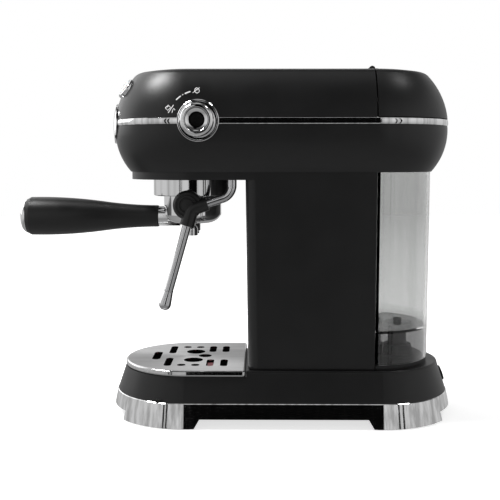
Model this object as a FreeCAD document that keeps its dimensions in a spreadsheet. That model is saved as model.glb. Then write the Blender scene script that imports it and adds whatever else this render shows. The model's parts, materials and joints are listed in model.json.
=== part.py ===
import FreeCAD, Part
import math
import os

import Sketcher
from FreeCAD import Placement, Rotation, Vector

# A compact espresso machine, in millimetres. +Z is up, the front faces -Y and the user's right hand
# is at +X. The origin is the middle of the base's footprint, on the surface that the machine stands on.

os.makedirs("parts", exist_ok=True)
doc = FreeCAD.newDocument("EspressoMachine")

# ---------------------------------------------------------------------------------------------
# Driving dimensions
# ---------------------------------------------------------------------------------------------
DIMENSIONS = {
    # footprint and shells
    "wall": 2.5,
    "base_half_width": 74.5,
    "base_end_centre": 91.5,
    "skirt_bottom": 1.0,
    "skirt_top": 23.5,
    "skirt_flare": 4.5,
    "skirt_wall": 1.6,
    "arch_top": 9.5,
    "arch_half_width": 45.0,
    "side_arch_front": -77.0,
    "side_arch_rear": 78.0,
    "side_arch_slant": 6.2,
    "pad_height": 4.0,
    "plate_deck": 10.0,
    "body_step": 5.0,
    "tray_deck": 46.5,
    "tray_deck_inset": 12.8,
    "rear_deck": 52.0,
    "rear_deck_front": -34.0,
    "tank_plinth": 56.0,
    # column and neck
    "column_foot": 53.6,
    "column_half_width": 57.0,
    "column_front_top": -34.9,
    "column_front_bottom": -32.4,
    "column_rear": 84.5,
    "column_corner": 9.0,
    "neck_bottom": 227.5,
    "neck_radius": 57.0,
    "neck_centre": -88.0,
    # head
    "head_bottom": 234.5,
    "head_top": 330.6,
    "crown_recess": 1.7,
    "warmer_radius": 28.0,
    "head_half_width": 73.0,
    "head_front_centre": -87.2,
    "head_rear_centre": 84.2,
    "band_bottom": 277.0,
    "band_top": 283.3,
    "lid_seam": 81.4,
    "lid_gap": 1.2,
    "hinge_along": 84.0,
    "hinge_height": 331.0,
    "hinge_radius": 2.8,
    "hinge_pin_radius": 1.2,
    # drip tray and plate
    "tray_radius": 57.6,
    "tray_rear": -38.2,
    "tray_floor": 27.0,
    "plate_top": 52.5,
    "plate_rear": -35.0,
    "plate_edge_radius": 63.6,
    "plate_end_centre": 89.5,
    "plate_rim": 4.5,
    "plate_thickness": 1.6,
    "float_along": -69.2,
    "float_across": 30.0,
    # brew group and portafilter
    "group_centre": -87.0,
    "group_radius": 37.5,
    "group_bottom": 211.6,
    "lip_radius": 28.2,
    "cavity_radius": 33.4,
    "filter_radius": 27.7,
    "filter_top": 217.0,
    "filter_bottom": 184.9,
    "filter_bore": 26.4,
    "ear_radius": 32.8,
    "ear_bottom": 213.9,
    "ear_top": 216.9,
    "basket_radius": 25.9,
    "basket_bottom": 196.0,
    "basket_wall": 0.8,
    "spout_spread": 12.0,
    "spout_bottom": 173.5,
    "handle_height": 191.3,
    "handle_front": -247.7,
    "handle_rear": -119.8,
    "handle_tip": -254.2,
    "handle_bore": 3.0,
    # steam knob
    "knob_along": -76.4,
    "knob_height": 280.2,
    "ring_radius": 18.5,
    "ring_face": 76.2,
    "knob_radius": 14.4,
    "knob_start": 76.9,
    "knob_face": 94.0,
    "spindle_radius": 3.0,
    "insert_radius": 6.5,
    # buttons
    "button_spread": 22.4,
    "button_height": 312.5,
    "button_reach": 63.9,
    "button_tilt": 35.0,
    "bezel_radius": 9.0,
    "bezel_bore": 7.8,
    "button_radius": 7.4,
    # steam wand
    "wand_across": 50.0,
    "wand_along": -47.0,
    "wand_pipe_radius": 4.0,
    "wand_tube_radius": 4.15,
    "thumb_radius": 13.4,
    "thumb_along": -88.0,
    "thumb_height": 204.5,
    # water tank
    "tank_centre": 86.0,
    "tank_radius": 56.0,
    "tank_front": 85.6,
    "tank_bottom": 56.5,
    "tank_top": 284.6,
    "tank_floor": 88.0,
    "tank_wall": 2.6,
    "valve_along": 114.0,
    "valve_radius": 9.0,
    "seat_radius": 15.0,
}

sheet = doc.addObject("Spreadsheet::Sheet", "dims")
for row, (alias, number) in enumerate(DIMENSIONS.items(), start=1):
    sheet.set(f"A{row}", alias)
    sheet.set(f"B{row}", str(number))
    sheet.setAlias(f"B{row}", alias)
doc.recompute()


class Size:
    """A number with its value and the sheet expression that drives it."""

    def __init__(self, text, value):
        self.text = text
        self.value = value

    def __add__(self, other):
        other = sized(other)
        return Size(f"({self.text} + {other.text})", self.value + other.value)

    def __sub__(self, other):
        other = sized(other)
        return Size(f"({self.text} - {other.text})", self.value - other.value)

    def __mul__(self, other):
        other = sized(other)
        return Size(f"({self.text} * {other.text})", self.value * other.value)

    def __truediv__(self, other):
        other = sized(other)
        return Size(f"({self.text} / {other.text})", self.value / other.value)

    def __radd__(self, other):
        return sized(other) + self

    def __rsub__(self, other):
        return sized(other) - self

    def __rmul__(self, other):
        return sized(other) * self

    def __neg__(self):
        return 0 - self


def sized(number):
    return number if isinstance(number, Size) else Size(f"{float(number):.6f}", float(number))


class Dimensions:
    """dim.wall is the sheet's cell of that name, as a Size."""

    def __getattr__(self, name):
        return Size(f"dims.{name}", float(sheet.get(name)))


dim = Dimensions()


def mm(number):
    return sized(number).value


# ---------------------------------------------------------------------------------------------
# Tools for bodies, sketches and primitives
# ---------------------------------------------------------------------------------------------
def bind(thing, prop, size):
    """Drive a property by a size's expression."""
    thing.setExpression(prop, sized(size).text)


def place(thing, across=0, along=0, height=0, turn=None):
    """Put an object at a point, after turning it by a Rotation."""
    thing.Placement = Placement(Vector(mm(across), mm(along), mm(height)), turn or Rotation())
    bind(thing, "Placement.Base.x", sized(across))
    bind(thing, "Placement.Base.y", sized(along))
    bind(thing, "Placement.Base.z", sized(height))
    return thing


def new_body(label):
    made = doc.addObject("PartDesign::Body", label)
    made.Label = label
    return made


def new_sketch(body, role, offset=0):
    drawn = body.newObject("Sketcher::SketchObject", f"{body.Label}_sketch")
    plane = next(f for f in body.Origin.OriginFeatures if f.Role == role)
    drawn.AttachmentSupport = [(plane, "")]
    drawn.MapMode = "FlatFace"
    bind(drawn, "AttachmentOffset.Base.z", sized(offset))
    return drawn


def fix_point(drawn, geometry, point, across, up):
    """Tie one sketch point to its coordinates."""
    for kind, size in (("DistanceX", across), ("DistanceY", up)):
        index = drawn.addConstraint(Sketcher.Constraint(kind, -1, 1, geometry, point, mm(size)))
        if isinstance(size, Size):
            drawn.setExpression(f"Constraints[{index}]", size.text)


def fix_radius(drawn, geometry, radius):
    index = drawn.addConstraint(Sketcher.Constraint("Radius", geometry, mm(radius)))
    if isinstance(radius, Size):
        drawn.setExpression(f"Constraints[{index}]", radius.text)


def draw_circle(drawn, across, up, radius):
    centre = Vector(mm(across), mm(up), 0)
    index = drawn.addGeometry(Part.Circle(centre, Vector(0, 0, 1), mm(radius)))
    fix_point(drawn, index, 3, across, up)
    fix_radius(drawn, index, radius)


class Bend:
    """The next edge is an arc of this radius. It turns left when the radius is positive."""

    def __init__(self, radius):
        self.radius = radius


def draw_outline(drawn, *items):
    """A closed outline of corners, as (x, y) pairs, with a Bend before each corner an arc runs to."""
    corners = []
    bends = []
    for item in items:
        if isinstance(item, Bend):
            bends[-1] = item.radius
        else:
            corners.append(item)
            bends.append(None)
    ends = []
    for index, (corner, bend) in enumerate(zip(corners, bends)):
        after = corners[(index + 1) % len(corners)]
        start = Vector(mm(corner[0]), mm(corner[1]), 0)
        stop = Vector(mm(after[0]), mm(after[1]), 0)
        if bend is None:
            made = drawn.addGeometry(Part.LineSegment(start, stop))
            ends.append((made, 1, 2))
            continue
        radius = abs(mm(bend))
        side = math.copysign(1, mm(bend))
        chord = stop - start
        rise = math.sqrt(max(radius**2 - (chord.Length / 2) ** 2, 0))
        left = Vector(-chord.y, chord.x, 0).normalize()
        centre = (start + stop) * 0.5 + left * (side * rise)
        first, last = (start, stop) if side > 0 else (stop, start)
        angles = [math.atan2(p.y - centre.y, p.x - centre.x) for p in (first, last)]
        circle = Part.Circle(centre, Vector(0, 0, 1), radius)
        made = drawn.addGeometry(Part.ArcOfCircle(circle, *angles))
        ends.append((made, 1, 2) if side > 0 else (made, 2, 1))
        if chord.Length < 2 * radius - 0.001:
            size = bend if side > 0 else -1 * sized(bend)
            fix_radius(drawn, made, size)
        else:
            centre_x = (sized(corner[0]) + sized(after[0])) / 2
            index_x = drawn.addConstraint(Sketcher.Constraint("DistanceX", -1, 1, made, 3, centre.x))
            drawn.setExpression(f"Constraints[{index_x}]", centre_x.text)
    for index, corner in enumerate(corners):
        made, begin, _ = ends[index]
        before, _, finish = ends[index - 1]
        drawn.addConstraint(Sketcher.Constraint("Coincident", before, finish, made, begin))
        fix_point(drawn, made, begin, *corner)


def draw_slot(drawn, across, up, length, width):
    """A round-ended slot along the sketch's first axis."""
    half = sized(width) / 2
    left = sized(across) - sized(length) / 2 + half
    right = sized(across) + sized(length) / 2 - half
    low = sized(up) - half
    high = sized(up) + half
    radius = mm(half) * 1.0005
    draw_outline(drawn, (left, low), (right, low), Bend(radius), (right, high), (left, high), Bend(radius))


def add_pad(body, drawn, length):
    made = body.newObject("PartDesign::Pad", f"{body.Label}_pad")
    made.Profile = drawn
    bind(made, "Length", sized(length))
    return made


def add_pocket(body, drawn, length):
    """Cut along the sketch's normal and check that it took material away."""
    doc.recompute()
    before = body.Shape.Volume
    made = body.newObject("PartDesign::Pocket", f"{body.Label}_pocket")
    made.Profile = drawn
    made.Reversed = True
    bind(made, "Length", sized(length))
    doc.recompute()
    if body.Shape.Volume >= before - 0.01:
        raise RuntimeError(f"a pocket in {body.Label} cut nothing")
    return made


def add_revolution(body, drawn):
    made = body.newObject("PartDesign::Revolution", f"{body.Label}_revolution")
    made.Profile = drawn
    made.ReferenceAxis = (drawn, ["V_Axis"])
    made.Angle = 360
    return made


def turned(label, *outline):
    """A body turned about its own Z axis from an outline of (radius, height) corners."""
    body = new_body(label)
    drawn = new_sketch(body, "XZ_Plane")
    draw_outline(drawn, *outline)
    add_revolution(body, drawn)
    return body


def ring(label, outer, bore, low, high):
    """A turned ring between two heights."""
    return turned(label, (bore, low), (outer, low), (outer, high), (bore, high))


def soften(body, feature_type, size, test):
    """Fillet or chamfer the edges of a body's last feature that pass a test."""
    doc.recompute()
    tip = body.Tip
    names = [f"Edge{i}" for i, edge in enumerate(tip.Shape.Edges, start=1) if test(edge)]
    made = body.newObject(f"PartDesign::{feature_type}", f"{body.Label}_{feature_type.lower()}")
    made.Base = (tip, names)
    bind(made, "Radius" if feature_type == "Fillet" else "Size", sized(size))
    doc.recompute()
    return made


def cylinder(name, radius, height, across=0, along=0, low=0, turn=None):
    made = doc.addObject("Part::Cylinder", name)
    bind(made, "Radius", sized(radius))
    bind(made, "Height", sized(height))
    return place(made, across, along, low, turn)


def box(name, length, width, height, across=0, along=0, low=0, turn=None):
    """A box whose footprint is centred on the point and which starts at its height."""
    made = doc.addObject("Part::Box", name)
    bind(made, "Length", sized(length))
    bind(made, "Width", sized(width))
    bind(made, "Height", sized(height))
    return place(made, sized(across) - sized(length) / 2, sized(along) - sized(width) / 2, low, turn)


def fused(label, *pieces):
    made = doc.addObject("Part::MultiFuse", label)
    made.Shapes = list(pieces)
    made.Refine = True
    made.Label = label
    return made


def cut(label, base, *tools):
    """The base less the tools."""
    made = doc.addObject("Part::Cut", label)
    made.Base = base
    made.Tool = tools[0] if len(tools) == 1 else fused(f"{label}_tools", *tools)
    made.Label = label
    return made


def group_of(label, *pieces):
    """Separate identical solids under one name."""
    made = doc.addObject("Part::Compound", label)
    made.Links = list(pieces)
    made.Label = label
    return made


def free_form(label, shape):
    made = doc.addObject("Part::Feature", label)
    made.Label = label
    made.Shape = shape
    made.Placement = Placement()
    return made


ALONG_X = Rotation(Vector(0, 1, 0), 90)
ALONG_Y = Rotation(Vector(1, 0, 0), -90)
ALONG_MINUS_Y = Rotation(Vector(1, 0, 0), 90)

nodes = []


def keep(thing):
    """Hand a finished sub-part in."""
    nodes.append(thing)
    return thing


# ---------------------------------------------------------------------------------------------
# Solids with a stadium footprint, used by the base and the head
# ---------------------------------------------------------------------------------------------
def section(*points):
    """A face in the XZ plane. A list, not a tuple, is the middle of the arc between its neighbours."""
    count = len(points)
    edges = []
    for index, point in enumerate(points):
        if isinstance(point, list):
            continue
        start = Vector(mm(point[0]), 0, mm(point[1]))
        after = points[(index + 1) % count]
        if isinstance(after, list):
            middle = Vector(mm(after[0]), 0, mm(after[1]))
            after = points[(index + 2) % count]
            stop = Vector(mm(after[0]), 0, mm(after[1]))
            edges.append(Part.Arc(start, middle, stop).toShape())
        else:
            stop = Vector(mm(after[0]), 0, mm(after[1]))
            edges.append(Part.makeLine(start, stop))
    return Part.Face(Part.Wire(edges))


def pill(face, front, rear):
    """Sweep a half section round a stadium whose end centres lie at front and rear."""
    front = mm(front)
    rear = mm(rear)
    up = Vector(0, 0, 1)
    mirrored = face.mirror(Vector(), Vector(1, 0, 0))
    at_front = mirrored.translated(Vector(0, front, 0)).revolve(Vector(0, front, 0), up, 180)
    at_rear = face.translated(Vector(0, rear, 0)).revolve(Vector(0, rear, 0), up, 180)
    run = Vector(0, rear - front, 0)
    sides = [half.translated(Vector(0, front, 0)).extrude(run) for half in (face, mirrored)]
    return at_front.fuse([at_rear, *sides]).removeSplitter()


def slab(left, right, front, rear, low, high):
    """A plain block between six coordinates."""
    corner = Vector(mm(left), mm(front), mm(low))
    size = (mm(right) - mm(left), mm(rear) - mm(front), mm(high) - mm(low))
    return Part.makeBox(*size, corner)


def rod(radius, across, along, low, high):
    """A plain upright cylinder."""
    base = Vector(mm(across), mm(along), mm(low))
    return Part.makeCylinder(mm(radius), mm(high) - mm(low), base)


# ---------------------------------------------------------------------------------------------
# Base
# ---------------------------------------------------------------------------------------------
BASE_ENDS = (-dim.base_end_centre, dim.base_end_centre)
SCREW_SPOTS = [(side * 40.0, along) for side in (-1, 1) for along in (-112.0, 100.0)]
CORNERS = [(side, end) for side in (-1, 1) for end in (-1, 1)]


def flared(inset, low, high):
    """The skirt's cone between two heights, moved inwards by an inset."""
    slope = mm(dim.skirt_flare) / (mm(dim.skirt_top) - mm(dim.skirt_bottom))
    bottom = mm(dim.base_half_width) - inset - slope * (low - mm(dim.skirt_bottom))
    top = mm(dim.base_half_width) - inset - slope * (high - mm(dim.skirt_bottom))
    return pill(section((0, low), (bottom, low), (top, high), (0, high)), *BASE_ENDS)


def side_arch(grow):
    """The slant-ended gap under both long sides, as one prism across the machine."""
    front = mm(dim.side_arch_front) - grow
    rear = mm(dim.side_arch_rear) + grow
    slant = mm(dim.side_arch_slant)
    high = mm(dim.arch_top) + grow * 0.3
    corners = [(front - slant, -1), (rear + slant, -1), (rear, high), (front, high)]
    points = [Vector(-100, along, up) for along, up in corners]
    return Part.Face(Part.makePolygon(points + points[:1])).extrude(Vector(200, 0, 0))


def end_arch(grow):
    """The gap under the front and the rear."""
    half = mm(dim.arch_half_width) + grow
    return slab(-half, half, -200, 200, -1, mm(dim.arch_top))


def base_skirt():
    low = mm(dim.skirt_bottom)
    high = mm(dim.skirt_top)
    foot = mm(dim.base_half_width)
    top = foot - mm(dim.skirt_flare)
    lean = (foot - top) / (high - low)
    bevel = 0.6
    rim = [(foot, low), (top + lean * bevel, high - bevel), (top - bevel, high)]
    outer = pill(section((0, low), *rim, (0, high)), *BASE_ENDS)
    shape = outer.cut(flared(mm(dim.skirt_wall), low - 1, high + 1))
    return keep(free_form("base_skirt", shape.cut(side_arch(0)).cut(end_arch(0))))


def foot_blocks(inset, inner, low, high):
    """The four corner blocks between the arches."""
    ring_shape = flared(inset, low, high).cut(flared(inner, low - 1, high + 1))
    clearance = 2.5
    ends = slab(-200, 200, -200, 200, -1, 60).cut(
        slab(-200, 200, mm(dim.side_arch_front) - 8.5, mm(dim.side_arch_rear) + 8.5, -2, 61)
    )
    return ring_shape.common(ends).cut(end_arch(clearance))


def base_bottom_plate():
    deck = mm(dim.plate_deck)
    plate = flared(mm(dim.skirt_wall) + 0.4, deck, deck + mm(dim.wall))
    shape = plate.fuse(foot_blocks(2.4, 20.0, mm(dim.pad_height), deck)).removeSplitter()
    for across, along in SCREW_SPOTS:
        shape = shape.cut(rod(1.8, across, along, 0, 20))
    return keep(free_form("base_bottom_plate", shape))


def rubber_feet():
    shape = foot_blocks(2.8, 19.0, 0, mm(dim.pad_height))
    return keep(free_form("rubber_feet", shape))


def base_body(inset, lid_drop):
    """The black body's outer form, or its hollow when inset and lid_drop are a wall."""
    low = mm(dim.skirt_top)
    bottom = mm(dim.base_half_width) - mm(dim.body_step) - inset
    top = mm(dim.base_half_width) - mm(dim.tray_deck_inset) - inset
    deck = mm(dim.tray_deck) - lid_drop
    start = low - 1 if inset else low
    front = pill(section((0, start), (bottom, start), (top, deck), (0, deck)), *BASE_ENDS)
    high = mm(dim.rear_deck) - lid_drop
    slope = (bottom - top) / (deck - start)
    shoulder = top - slope * (high - 2.6 - deck)
    rounded = [(shoulder, high - 2.6), [shoulder - 0.6, high - 0.7], (shoulder - 2.4, high)]
    rear = pill(section((0, start), (bottom, start), *rounded, (0, high)), *BASE_ENDS)
    step = mm(dim.rear_deck_front) + inset
    return front.fuse(rear.common(slab(-100, 100, step, 200, 0, 100))).removeSplitter()


# The cord leaves square to the sloping back of the base.
CORD_EXIT = Placement(Vector(0, 156.9, 36), Rotation(Vector(1, 0, 0), -71))


def base_shell():
    wall = mm(dim.wall)
    shape = base_body(0, 0).cut(base_body(wall, wall))
    well = section((0, 40), (dim.tray_radius + 0.6, 40), (dim.tray_radius + 0.6, 60), (0, 60))
    tray_space = pill(well, -dim.base_end_centre, 0)
    rear_limit = mm(dim.tray_rear) + 0.7
    shape = shape.cut(tray_space.common(slab(-100, 100, -200, rear_limit, 0, 100)))
    boss_tops = {-112.0: 24.5, 100.0: mm(dim.rear_deck) - wall + 0.5}
    bosses = [rod(4.5, *spot, 12.5, boss_tops[spot[1]]) for spot in SCREW_SPOTS]
    bridge = slab(-66, 66, -118, -106, 23.5, 26.5)
    deck = mm(dim.rear_deck)
    column_plinth = slab(-56, 56, -31.2, 84.5, deck, dim.column_foot)
    tank_plinth = tank_outline(mm(dim.tank_radius) - 0.6, dim.tank_front, deck, dim.tank_plinth)
    shape = shape.fuse([*bosses, bridge, column_plinth, tank_plinth]).removeSplitter()
    for across, along in SCREW_SPOTS:
        shape = shape.cut(rod(1.5, across, along, 12, 23.0))
    hose_slot = slab(-46, 46, -24, 70, 48, 60)
    seat_hole = rod(dim.seat_radius - 1.5, 0, dim.valve_along, 48, 60)
    cord_hole = rod(6.1, 0, 0, -20, 20)
    cord_hole.Placement = CORD_EXIT
    return keep(free_form("base_shell", shape.cut(hose_slot).cut(seat_hole).cut(cord_hole)))


def base_screws():
    pieces = []
    for index, (across, along) in enumerate(SCREW_SPOTS):
        head = cylinder(f"base_screw_head_{index}", 3.2, 1.8, across, along, dim.plate_deck - 1.8)
        shank = cylinder(f"base_screw_shank_{index}", 1.5, 14.5, across, along, dim.plate_deck - 1.8)
        pieces.append(fused(f"base_screw_{index}", head, shank))
    return keep(group_of("base_screws", *pieces))


def cord_inlet():
    """The strain-relief gland low at the back."""
    body = turned(
        "cord_inlet",
        (4.0, -7), (8.0, -7), (8.0, -4.4), (6.0, -4.4), (6.0, 0.3), (7.4, 0.3), (7.0, 1.5), (4.0, 1.5),
    )
    body.Placement = CORD_EXIT
    return keep(body)


# ---------------------------------------------------------------------------------------------
# Column and neck
# ---------------------------------------------------------------------------------------------
def column_outline(drawn, front, inset, rear):
    half = dim.column_half_width - inset
    corner = dim.column_corner - inset
    front = front + inset
    draw_outline(
        drawn,
        (-half + corner, front),
        (half - corner, front),
        Bend(corner),
        (half, front + corner),
        (half, rear),
        (-half, rear),
        (-half, front + corner),
        Bend(corner),
    )


def add_loft(body, kind, inset, rear, low, high):
    """A drafted prism from the column's foot to its top."""
    foot = new_sketch(body, "XY_Plane", low)
    column_outline(foot, dim.column_front_bottom, inset, rear)
    top = new_sketch(body, "XY_Plane", high)
    column_outline(top, dim.column_front_top, inset, rear)
    doc.recompute()
    before = body.Shape.Volume if body.Tip else 0
    made = body.newObject(f"PartDesign::{kind}", f"{body.Label}_loft")
    made.Profile = foot
    made.Sections = [top]
    made.Ruled = True
    doc.recompute()
    if kind == "SubtractiveLoft" and body.Shape.Volume >= before - 1:
        raise RuntimeError("the column's hollow cut nothing")
    return made


def column_shell():
    body = new_body("column_shell")
    add_loft(body, "AdditiveLoft", 0, dim.column_rear - dim.wall, dim.column_foot, dim.neck_bottom)
    add_loft(body, "SubtractiveLoft", dim.wall, dim.column_rear, dim.column_foot, dim.neck_bottom)
    return keep(body)


def column_back_panel():
    body = new_body("column_back_panel")
    drawn = new_sketch(body, "XZ_Plane")
    half = dim.column_half_width
    low = dim.column_foot
    high = dim.neck_bottom
    draw_outline(drawn, (-half, low), (half, low), (half, high), (-half, high))
    add_pad(body, drawn, dim.wall)
    return keep(place(body, 0, dim.column_rear, 0))


def neck_plate():
    """The flange between column and head, dished from above."""
    body = new_body("neck_plate")
    drawn = new_sketch(body, "XY_Plane", dim.neck_bottom)

    def outline(target, inset, rear):
        half = dim.neck_radius - inset
        centre = dim.neck_centre
        draw_outline(
            target,
            (-half, centre), Bend(half), (0, centre - half), Bend(half), (half, centre),
            (half, rear), (-half, rear),
        )

    outline(drawn, 0, dim.column_rear)
    add_pad(body, drawn, dim.head_bottom - dim.neck_bottom)
    dish = new_sketch(body, "XY_Plane", dim.neck_bottom + dim.wall)
    outline(dish, dim.wall, dim.column_rear - dim.wall)
    add_pocket(body, dish, dim.head_bottom - dim.neck_bottom)
    holes = new_sketch(body, "XY_Plane", dim.neck_bottom)
    draw_circle(holes, 0, dim.group_centre, 29.0)
    draw_circle(holes, dim.wand_across, dim.wand_along, 4.6)
    draw_outline(holes, (-44, -22), (44, -22), (44, 70), (-44, 70))
    add_pocket(body, holes, dim.wall)
    return keep(body)


# ---------------------------------------------------------------------------------------------
# Head
# ---------------------------------------------------------------------------------------------
HEAD_ENDS = (dim.head_front_centre, dim.head_rear_centre)
WARMER_ENDS = (-85.0, 40.0)
HEAD_SCREWS = [(side * 46.0, along) for side in (-1, 1) for along in (-10.0, 60.0)]


def head_lower(inset):
    """The head below the band. An inset gives the hollow."""
    half = mm(dim.head_half_width) - inset
    low = mm(dim.head_bottom) + inset
    high = mm(dim.band_bottom) + (1 if inset else 0)
    return pill(
        section(
            (0, low),
            (half - 14.2 + inset * 0.1, low),
            [half - 4.1, 250.8 + inset * 0.3],
            (half, high),
            (0, high),
        ),
        *HEAD_ENDS,
    )


def head_upper(inset, low):
    """The head above the band: a swelling side, a tight shoulder and a low crown."""
    half = mm(dim.head_half_width) - inset
    top = mm(dim.head_top) - inset
    return pill(
        section(
            (0, low),
            (half, low),
            [half - 7.4 + inset * 0.15, 308.0 - inset * 0.4],
            (half - 18.7 + inset * 0.3, top - 6.6 + inset * 0.2),
            [half - 21.2 + inset * 0.3, top - 4.7 + inset * 0.1],
            (half - 25.0 + inset * 0.2, top - 3.5),
            [half - 43.0, top - 1.05],
            (half - 58.0, top),
            (0, top),
        ),
        *HEAD_ENDS,
    )


def side_hole(radius, start, stop):
    """A hole for the steam knob, through the right-hand side."""
    centre = Vector(start, mm(dim.knob_along), mm(dim.knob_height))
    return Part.makeCylinder(radius, stop - start, centre, Vector(1, 0, 0))


def button_frame(turn):
    """Where a button sits: its Placement, with +Z pointing out of the head."""
    tilt = Rotation(Vector(1, 0, 0), 90 - mm(dim.button_tilt))
    swing = Rotation(Vector(0, 0, 1), turn)
    outwards = swing.multVec(Vector(0, -mm(dim.button_reach), 0))
    spot = Vector(0, mm(dim.head_front_centre), mm(dim.button_height)) + outwards
    return Placement(spot, swing.multiply(tilt))


BUTTON_TURNS = {"left": -mm(dim.button_spread), "centre": 0.0, "right": mm(dim.button_spread)}


def wall_across(shape_of_solid, low, high):
    """The head's inner wall, just in front of the tank."""
    rear = mm(dim.lid_seam)
    return shape_of_solid.common(slab(-100, 100, rear - mm(dim.wall), rear, low, high))


def tank_outline(radius, front, low, high):
    """The tank's D-shaped footprint as a solid."""
    whole = rod(radius, 0, dim.tank_centre, low, high)
    return whole.common(slab(-100, 100, front, 200, mm(low) - 1, mm(high) + 1))


def head_lower_shell():
    wall = mm(dim.wall)
    outer = head_lower(0)
    shape = outer.cut(head_lower(wall))
    lip_top = mm(dim.band_top) - 0.3
    lip_outer = mm(dim.head_half_width) - 2.7
    lip = pill(section((0, 272), (lip_outer, 272), (lip_outer, lip_top), (0, lip_top)), *HEAD_ENDS)
    lip_inner = lip_outer - 2.2
    lip = lip.cut(pill(section((0, 270), (lip_inner, 270), (lip_inner, 290), (0, 290)), *HEAD_ENDS))
    bosses = [rod(5.2, *spot, mm(dim.head_bottom) + 1, lip_top) for spot in HEAD_SCREWS]
    bulkhead = wall_across(outer, mm(dim.head_bottom) + 1, 275)
    shape = shape.fuse([lip, bulkhead, *bosses]).removeSplitter()
    for spot in HEAD_SCREWS:
        shape = shape.cut(rod(1.8, *spot, 230, 290)).cut(rod(3.8, *spot, 230, 262))
    shape = shape.cut(tank_outline(mm(dim.tank_radius) + 0.8, mm(dim.tank_front) - 0.8, 230, 290))
    shape = shape.cut(rod(29, 0, dim.group_centre, 230, 240))
    shape = shape.cut(rod(4.6, dim.wand_across, dim.wand_along, 230, 240))
    shape = shape.cut(slab(-38, 38, -22, 70, 230, 240))
    return keep(free_form("head_lower_shell", shape.cut(side_hole(mm(dim.ring_radius) + 0.1, 62, 90))))


def head_upper_shell():
    wall = mm(dim.wall)
    low = mm(dim.band_top)
    rear = mm(dim.lid_seam)
    outer = head_upper(0, low)
    shape = outer.cut(head_upper(wall, low - 1)).common(slab(-100, 100, -200, rear, 200, 400))
    bosses = [rod(5.2, *spot, low, 325.5) for spot in HEAD_SCREWS]
    shape = shape.fuse([wall_across(outer, low, 400), *bosses]).removeSplitter()
    for spot in HEAD_SCREWS:
        shape = shape.cut(rod(1.5, *spot, low - 1, 305))
    edge = mm(dim.warmer_radius) + 0.2
    sunk = mm(dim.head_top) - mm(dim.crown_recess)
    recess = section((0, sunk), (edge, sunk), (edge, 340), (0, 340))
    shape = shape.cut(pill(recess, *WARMER_ENDS))
    hinge = mm(dim.hinge_along)
    height = mm(dim.hinge_height)
    clear = mm(dim.hinge_radius) + 0.7
    knuckle = Part.makeCylinder(clear, 34, Vector(-17, hinge, height), Vector(1, 0, 0))
    above = slab(-17, 17, hinge - clear, 100, height, 340)
    shape = shape.cut(knuckle).cut(above)
    for turn in BUTTON_TURNS.values():
        hole = rod(mm(dim.bezel_radius) + 0.05, 0, 0, -12, 12)
        hole.Placement = button_frame(turn)
        shape = shape.cut(hole)
    return keep(free_form("head_upper_shell", shape.cut(side_hole(mm(dim.ring_radius) + 0.1, 62, 90))))


def head_screws():
    pieces = []
    for index, (across, along) in enumerate(HEAD_SCREWS):
        head = cylinder(f"head_screw_head_{index}", 3.4, 2.6, across, along, 259.4)
        shank = cylinder(f"head_screw_shank_{index}", 1.5, 40.0, across, along, 259.4)
        pieces.append(fused(f"head_screw_{index}", head, shank))
    return keep(group_of("head_screws", *pieces))


def chrome_band():
    low = mm(dim.band_bottom)
    high = mm(dim.band_top)
    edge = mm(dim.head_half_width) + 0.2
    inner = mm(dim.head_half_width) - 2.6
    middle = (low + high) / 2
    bevel = 0.6
    face = [(edge, low + bevel), [edge + 0.4, middle], (edge, high - bevel)]
    rim = [(edge - bevel, low), *face, (edge - bevel, high)]
    outer = pill(section((0, low), *rim, (0, high)), *HEAD_ENDS)
    hollow = pill(section((0, low - 1), (inner, low - 1), (inner, high + 1), (0, high + 1)), *HEAD_ENDS)
    return keep(free_form("chrome_band", outer.cut(hollow).cut(side_hole(mm(dim.ring_radius) + 0.1, 62, 90))))


def cup_warmer_plate():
    """The steel plate let into the crown, where cups warm."""
    body = new_body("cup_warmer_plate")
    drawn = new_sketch(body, "XY_Plane", dim.head_top - dim.crown_recess)
    half = dim.warmer_radius
    front, rear = WARMER_ENDS
    draw_outline(
        drawn,
        (-1 * half, front), Bend(half), (0, front - half), Bend(half), (half, front),
        (half, rear), Bend(half), (0, rear + half), Bend(half), (-1 * half, rear),
    )
    add_pad(body, drawn, 0.8)
    return keep(body)


def badge_plate():
    """A blank oval badge that follows the nose of the head."""
    half = mm(dim.head_half_width)
    back = 0.75
    face = 1.7

    def swollen(extra):
        return section(
            (0, 258), (half - 1.7 + extra, 258), [half + 0.1 + extra, 275], (half - 0.2 + extra, 284),
            [half - 1.9 + extra, 294], (half - 4.9 + extra, 302), (0, 302),
        )

    shape = pill(swollen(face), *HEAD_ENDS).cut(pill(swollen(back), *HEAD_ENDS))
    oval = Part.Ellipse(Vector(), 29, 19).toShape()
    disc = Part.Face(Part.Wire(oval))
    disc.Placement = Placement(Vector(0, -200, mm(dim.knob_height)), ALONG_MINUS_Y)
    return keep(free_form("badge_plate", shape.common(disc.extrude(Vector(0, 110, 0)))))


# ---------------------------------------------------------------------------------------------
# Controls
# ---------------------------------------------------------------------------------------------
def button_bezels():
    pieces = []
    for name, turn in BUTTON_TURNS.items():
        radius = dim.bezel_radius
        body = turned(
            f"bezel_{name}",
            (dim.bezel_bore, -9.0), (radius, -9.0), (radius, 0.5),
            (radius - 0.3, 1.5), (dim.bezel_bore + 0.2, 1.9), (dim.bezel_bore, 1.6),
        )
        body.Placement = button_frame(turn)
        pieces.append(body)
    return keep(group_of("button_bezels", *pieces))


def buttons():
    for name, turn in BUTTON_TURNS.items():
        radius = dim.button_radius
        body = turned(
            f"button_{name}",
            (0, -14.0), (1.8, -14.0), (1.8, -5.0),
            (radius, -5.0), (radius, 1.9), (radius - 0.8, 2.7), (0, 3.0),
        )
        body.Placement = button_frame(turn)
        keep(body)


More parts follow.
